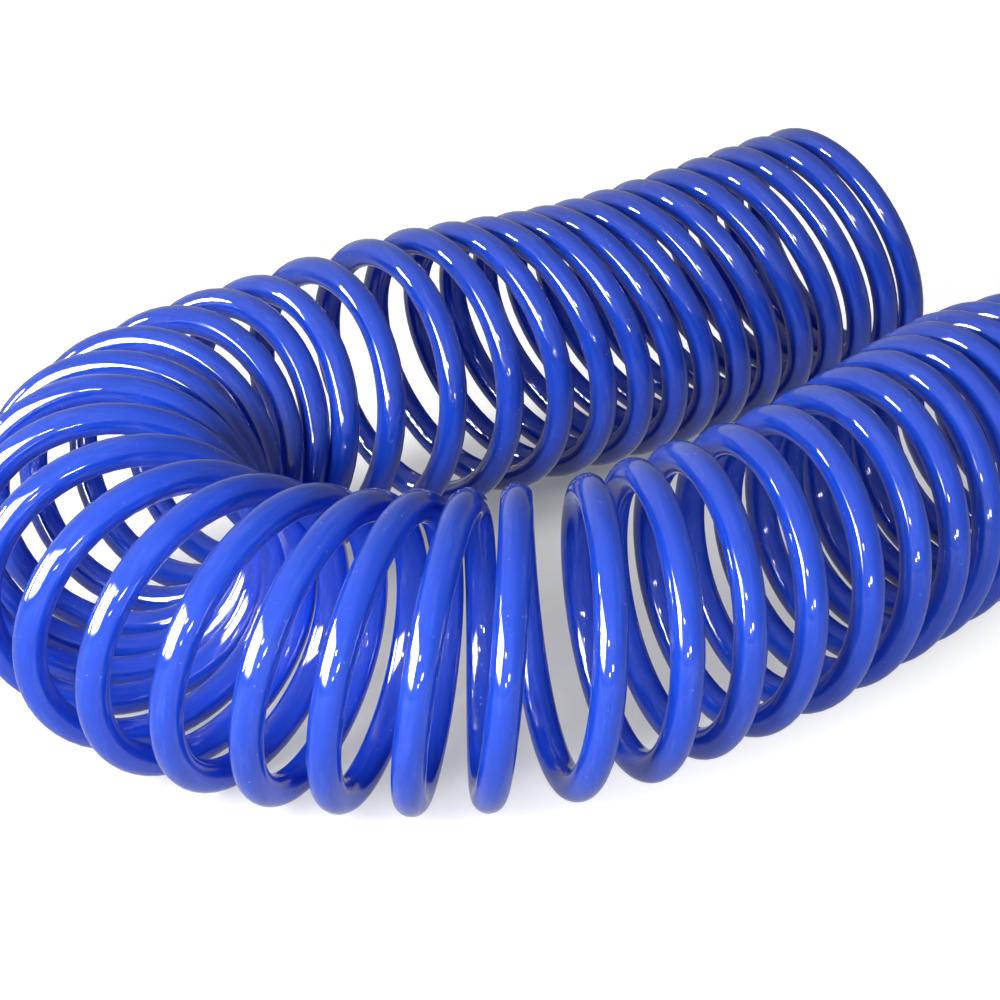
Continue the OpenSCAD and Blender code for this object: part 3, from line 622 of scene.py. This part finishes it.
def add_world():
    """White surroundings: full white where the camera or glass sees them. Gloss sees them white
    on the far side and overhead, and dim on the open side; matt surfaces get MATT_LEVEL."""
    world = bpy.data.worlds.new("studio")
    scene.world = world
    world.use_nodes = True
    tree = world.node_tree
    back = tree.nodes["Background"]
    back.inputs["Color"].default_value = (1, 1, 1, 1)
    way = add_node(tree, "TexCoord").outputs["Generated"]
    towards = add_node(tree, "VectorMath", {0: way, 1: DIM_SIDE}, operation="DOT_PRODUCT")
    gloss = spread(tree, towards.outputs["Value"], DIM_FROM, DIM_TO, GLOSS_BRIGHT, GLOSS_DIM,
                   interpolation_type="SMOOTHSTEP")
    unseen = blend_level(tree, seen_ray(tree, "Is Glossy Ray"), MATT_LEVEL, gloss)
    clear = seen_ray(tree, "Is Camera Ray", "Is Transmission Ray")
    tree.links.new(blend_level(tree, clear, unseen, 1.0), back.inputs["Strength"])


add_floor()
add_world()

# ---------------------------------------------------------------- lamps

MIDDLE = np.array([-0.06, 0.0, 0.05])       # of the coil
NEAR_ARM = np.array([-0.15, -0.11, 0.06])
GLOSS_AWAY = 6.0                            # how far off the lamps stand that only gloss sees
# name, azimuth, elevation, distance, width, height, radiance and the point that it faces
MATT_LAMPS = [
    ("key", -96, 27, 1.20, 0.50, 0.36, 21.0, NEAR_ARM),
    ("front", -156, 6, 1.10, 0.80, 0.22, 8.0, NEAR_ARM),
    ("fill_back", 55, 20, 1.60, 1.60, 0.80, 0.52, MIDDLE),
    ("fill_side", 125, 10, 1.50, 1.20, 0.50, 1.25, MIDDLE),
    ("overhead", -100, 75, 1.60, 1.60, 1.60, 0.15, MIDDLE),
]
# the same for the near lamp that only gloss sees, and the feathered share of its face
SOFT_BOX = ("soft_box", -80, 16, 1.00, 0.80, 0.50, 80.0, NEAR_ARM, True, 0.25)
# name, azimuth, elevation, the angles that it fills across and up, radiance and feathered share
GLOSS_LAMPS = [
    ("spot", -118, 24, 7, 4, 70.0, 0.2),
    ("window", -150, 8, 10, 5, 60.0, 0.2),
    ("window_side", -134, 5, 6, 3, 60.0, 0.2),
    ("strip", -45, 11.5, 9, 24, 90.0, 0.0),
]


def feather(data, share):
    """The lamp's face fades to nothing over this share of its width and height at each edge."""
    data.use_nodes = True
    tree = data.node_tree
    face = add_node(tree, "NewGeometry").outputs["Parametric"]
    parts = add_node(tree, "SeparateXYZ", {0: face}).outputs
    fades = []
    for value in (parts["X"], parts["Y"]):
        off = add_math(tree, "ABSOLUTE", add_math(tree, "SUBTRACT", value, 0.5))
        fades.append(spread(tree, off, 0.5 - share, 0.5, 1.0, 0.0,
                            interpolation_type="SMOOTHSTEP"))
    shine = tree.nodes["Emission"]
    tree.links.new(add_math(tree, "MULTIPLY", *fades), shine.inputs["Strength"])


def add_lamp(name, azimuth, elevation, away, width, height, radiance, aim, gloss=False, soft=0.0):
    """Rectangular lamp that faces the point aim, seen by gloss alone or by matt surfaces alone.
    azimuth turns from +Y towards +X, in degrees as elevation is. radiance is what its face
    shows, so its power is 4 * radiance * area."""
    a, e = math.radians(azimuth), math.radians(elevation)
    towards = np.array([math.sin(a) * math.cos(e), math.cos(a) * math.cos(e), math.sin(e)])
    data = bpy.data.lights.new(name, "AREA")
    data.shape, data.size, data.size_y = "RECTANGLE", width, height
    data.energy = 4 * radiance * width * height
    if soft:
        feather(data, soft)
    lamp = bpy.data.objects.new(name, data)
    scene.collection.objects.link(lamp)
    across = np.array([-math.cos(a), math.sin(a), 0.0])
    placed = np.eye(4)
    placed[:3, 0], placed[:3, 1], placed[:3, 2] = across, np.cross(towards, across), towards
    placed[:3, 3] = aim + away * towards
    lamp.matrix_world = Matrix(placed.tolist())
    lamp.visible_camera = False
    lamp.visible_diffuse = not gloss
    lamp.visible_glossy = lamp.visible_transmission = gloss


for lamp in MATT_LAMPS:
    add_lamp(*lamp)
add_lamp(*SOFT_BOX)
for name, azimuth, elevation, wide, tall, radiance, soft in GLOSS_LAMPS:
    width, height = (2 * GLOSS_AWAY * math.tan(math.radians(angle) / 2) for angle in (wide, tall))
    add_lamp(name, azimuth, elevation, GLOSS_AWAY, width, height, radiance, MIDDLE, True, soft)

# ---------------------------------------------------------------- fittings
# Radii and stations are in mm. A station lies along a fitting, from the shoulder that the hose
# stops on.

SIDES = 96
EASE, FINE_EASE = 0.3, 0.15              # how far a corner's rounding reaches
EASE_POINTS, EASE_SHARE = 4, 0.4         # points in it, and the most that it takes of a side
LARGE_FLATS, SMALL_FLATS = 22, 19        # hexagons, across the flats
TURNED_OFF, CONE_SLOPE = 0.35, 0.6       # the cone that takes a hexagon's corners off
ROUND_ROW = 0.05                         # a row whose radius varies less than this is round


def ring_row(r, z, sides=SIDES):
    """Round row of a profile: radius and station at every angle."""
    return np.stack(np.broadcast_arrays(r * np.ones(sides), z * np.ones(sides)), -1)


def rows_of(*stations, sides=SIDES):
    """Round rows from (radius, station) pairs."""
    return [ring_row(r, z, sides) for r, z in stations]


def hexagon_rows(flats, z0, z1):
    """Hexagon bar with a flat downwards: radius f = flats / 2 / cos(a'), where a' is the angle
    from the nearest flat's middle. A cone turns its corners off at both ends: it starts
    TURNED_OFF inside the flats and drops by CONE_SLOPE (f - start)."""
    a = TURN * np.arange(SIDES) / SIDES
    off = (a + TURN / 12) % (TURN / 6) - TURN / 12
    f = flats / 2 / np.cos(off)
    start = flats / 2 - TURNED_OFF
    drop = CONE_SLOPE * (f - start)
    return [ring_row(start, z0), ring_row(f, z0 + drop), ring_row(f, z1 - drop),
            ring_row(start, z1)]


def eased(rows, size=EASE):
    """Rounds the corners of a closed profile: a corner p becomes (1-s)^2 a + 2 s (1-s) p + s^2 b
    for EASE_POINTS values of s, where a and b lie `size` away from it on its two sides."""
    profile = np.stack(rows)

    def cut(way):
        length = np.linalg.norm(way, axis=-1, keepdims=True)
        return way * np.minimum(size / np.maximum(length, 1e-9), EASE_SHARE)

    a = profile + cut(np.roll(profile, 1, 0) - profile)
    b = profile + cut(np.roll(profile, -1, 0) - profile)
    s = np.linspace(0, 1, EASE_POINTS)[None, :, None, None]
    bent = (1 - s) ** 2 * a[:, None] + 2 * s * (1 - s) * profile[:, None] + s**2 * b[:, None]
    return bent.reshape(-1, *profile.shape[1:])


def turned_piece(name, at, grid, body, node, slot, hexagon=None):
    """Closed ring of rows (radius, station) about a fitting's axis. Faces between a hexagon's
    rows, from its first station to its last, are drawn bar; the others are turned."""
    rows, sides = grid.shape[:2]
    a = TURN * np.arange(sides) / sides
    points = axis_frame(at, grid[..., 1] * MM, grid[..., 0] * MM, a).reshape(-1, 3)
    middle = np.concatenate([grid, grid[:1]]).mean(1) * MM
    uv = band_uv(distance_along(middle), sides)
    faces = band_faces(rows, sides, closed=True)
    piece = surface(name, points, [faces], [uv], TURNED_CREASE)
    worn = [finishes[slot]]
    if hexagon:
        first, last = hexagon
        z, spread_of_r = grid[..., 1].mean(1), grid[..., 0].std(1)
        flat = (z >= first) & (z <= last) & (spread_of_r > ROUND_ROW)
        drawn = np.repeat(flat & np.roll(flat, -1), sides)
        piece.data.polygons.foreach_set("material_index", drawn.astype(np.int32))
        worn.append(finishes[slot + "_drawn"])
    stand_in(piece, body, node, slot, *worn)


def add_clamp_nut(end, at):
    """Collar with a slight taper, then the hexagon; the bore widens for the stem's thread."""
    hexagon = (-5.5, 9.5)
    rows = rows_of((6.3, -15.1), (6.7, -15.5), (9.0, -15.5), (10.0, -14.5), (10.5, -5.6))
    rows += hexagon_rows(LARGE_FLATS, *hexagon)
    rows += rows_of((9.2, 9.5), (8.6, 8.9), (8.6, 0.0), (6.3, 0.0))
    turned_piece(f"{end}_nut", at, eased(rows), "root", f"{end}_clamp_nut", "nickel", hexagon)


def add_swivel_body(end, at):
    """Round housing with a groove, a waist and a hexagon, bored for the spigot, its snap ring
    and the head."""
    hexagon = (33.1, 46.0)
    rows = rows_of((5.55, 16.4), (9.3, 16.4), (10.5, 17.6), (10.5, 20.4), (9.9, 20.9),
                   (9.9, 21.9), (10.5, 22.4), (10.5, 31.0), (9.35, 33.0))
    rows += hexagon_rows(SMALL_FLATS, *hexagon)
    rows += rows_of((7.1, 46.0), (6.6, 45.5), (6.6, 36.5), (5.55, 35.5), (5.55, 29.0),
                    (6.9, 29.0), (6.9, 27.0), (5.55, 27.0))
    turned_piece(f"{end}_housing", at, eased(rows), f"{end}_head", f"{end}_swivel_body",
                 "nickel", hexagon)


RIM_IN, RIM_OUT = 0.15, 0.1              # a gasket's rim, at its faces and between them


def add_gasket(name, at, r_in, r_out, z0, z1, node, body):
    """Flat ring, its rim squeezed out a little between its two faces."""
    rows = rows_of((r_in, z0), (r_out - RIM_IN, z0), (r_out + RIM_OUT, (z0 + z1) / 2),
                   (r_out - RIM_IN, z1), (r_in, z1))
    turned_piece(name, at, eased(rows, FINE_EASE), body, node, "rubber")


def add_plug():
    """Nipple: thread, hexagon, locking groove, collar and nose round one bore."""
    hexagon = (47.5, 54.5)
    rows = rows_of((2.5, 36.0), (5.9, 36.0), (6.5, 36.6), (6.5, 47.5))
    rows += hexagon_rows(SMALL_FLATS, *hexagon)
    rows += rows_of((4.45, 54.5), (4.45, 61.0), (5.95, 61.8), (5.95, 64.7), (3.95, 66.3),
                    (3.95, 76.7), (3.15, 77.5), (2.8, 77.5), (2.5, 77.2))
    turned_piece("plug_nose", PLUG, eased(rows), "plug_head", "plug_nipple", "hard_steel",
                 hexagon)


def add_adaptor():
    """Hexagon between two threads, with the pocket of the valve spring."""
    hexagon = (47.5, 55.5)
    rows = rows_of((3.5, 36.0), (5.9, 36.0), (6.5, 36.6), (6.5, 47.5))
    rows += hexagon_rows(LARGE_FLATS, *hexagon)
    rows += rows_of((8.5, 55.5), (8.5, 62.9), (7.9, 63.5), (7.1, 63.5), (7.1, 57.5),
                    (3.5, 57.5))
    turned_piece("coupler_hexagon", COUPLER, eased(rows), "coupler_head", "coupler_adaptor",
                 "nickel", hexagon)


KNURLS, KNURL_SIDES = 64, 8              # round the sleeve, and sides to each
KNURL_FIRST, KNURL_LAST, KNURL_ROWS = 71.1, 85.5, 81
KNURL_PITCH, KNURL_ROOT, KNURL_DEPTH = 1.25, 12.45, 0.34
KNURL_FADE = 0.5                         # over which it rises at its ends


def tent(x):
    """0 at whole numbers, 1 halfway, straight between."""
    return 1 - np.abs(2 * (x % 1.0) - 1)


def add_sleeve():
    """Sleeve with a diamond knurl between two lands. The knurl's radius at angle a and station z
    is root + depth * min(tent(u + v), tent(u - v)), with u = knurls * a / 2 pi and v = z /
    pitch."""
    sides = KNURLS * KNURL_SIDES
    outer = rows_of((11.0, 62.5), (12.0, 62.5), (13.0, 63.5), (13.0, 70.3), (12.5, 70.8),
                    sides=sides)
    inner = rows_of((12.5, 85.8), (13.0, 86.3), (13.5, 87.3), (13.5, 92.9), (12.3, 94.1),
                    (10.6, 94.1), (10.6, 91.7), (9.7, 91.7), (9.7, 89.5), (8.6, 89.5),
                    (8.6, 78.5), (11.0, 78.5), sides=sides)
    plain = eased(outer + inner)
    split = EASE_POINTS * len(outer)
    z = np.linspace(KNURL_FIRST, KNURL_LAST, KNURL_ROWS)[:, None]
    u = KNURLS * np.arange(sides)[None, :] / sides
    v = z / KNURL_PITCH
    rise = np.clip(np.minimum(z - KNURL_FIRST, KNURL_LAST - z) / KNURL_FADE, 0, 1)
    high = KNURL_ROOT + KNURL_DEPTH * rise * np.minimum(tent(u + v), tent(u - v))
    knurl = np.stack(np.broadcast_arrays(high, z), -1)
    grid = np.concatenate([plain[:split], knurl, plain[split:]])
    turned_piece("coupler_sleeve", COUPLER, grid, "sleeve", "sleeve", "hard_steel")


for at, end in ((PLUG, "plug"), (COUPLER, "coupler")):
    low, high = (corner[0] - at[0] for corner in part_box(f"{end}_spring_guard"))
    wire_spring(f"{end}_guard_coil", at, low, high, GUARD, "root", f"{end}_spring_guard")
    add_clamp_nut(end, at)
    add_swivel_body(end, at)
    add_gasket(f"{end}_flat_gasket", at, 6.6, 9.5, 46.0, 47.5, f"{end}_gasket", f"{end}_head")
add_plug()
add_adaptor()
add_gasket("coupler_body_gasket", COUPLER, 8.6, 10.3, 55.5, 56.5, "body_gasket", "coupler_head")
add_sleeve()

# The sleeve's spring keeps 8 of its 14 mm of room at full travel, and the valve's 4.3 of 9.3.
pushed = wire_spring("coupler_sleeve_coil", COUPLER, 0.0648, 0.0782, SLEEVE_SPRING,
                     "coupler_head", "sleeve_spring")
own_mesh(pushed)
closing = wire_spring("coupler_valve_coil", COUPLER, 0.0578, 0.0665, VALVE_SPRING,
                      "coupler_head", "valve_spring")
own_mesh(closing)
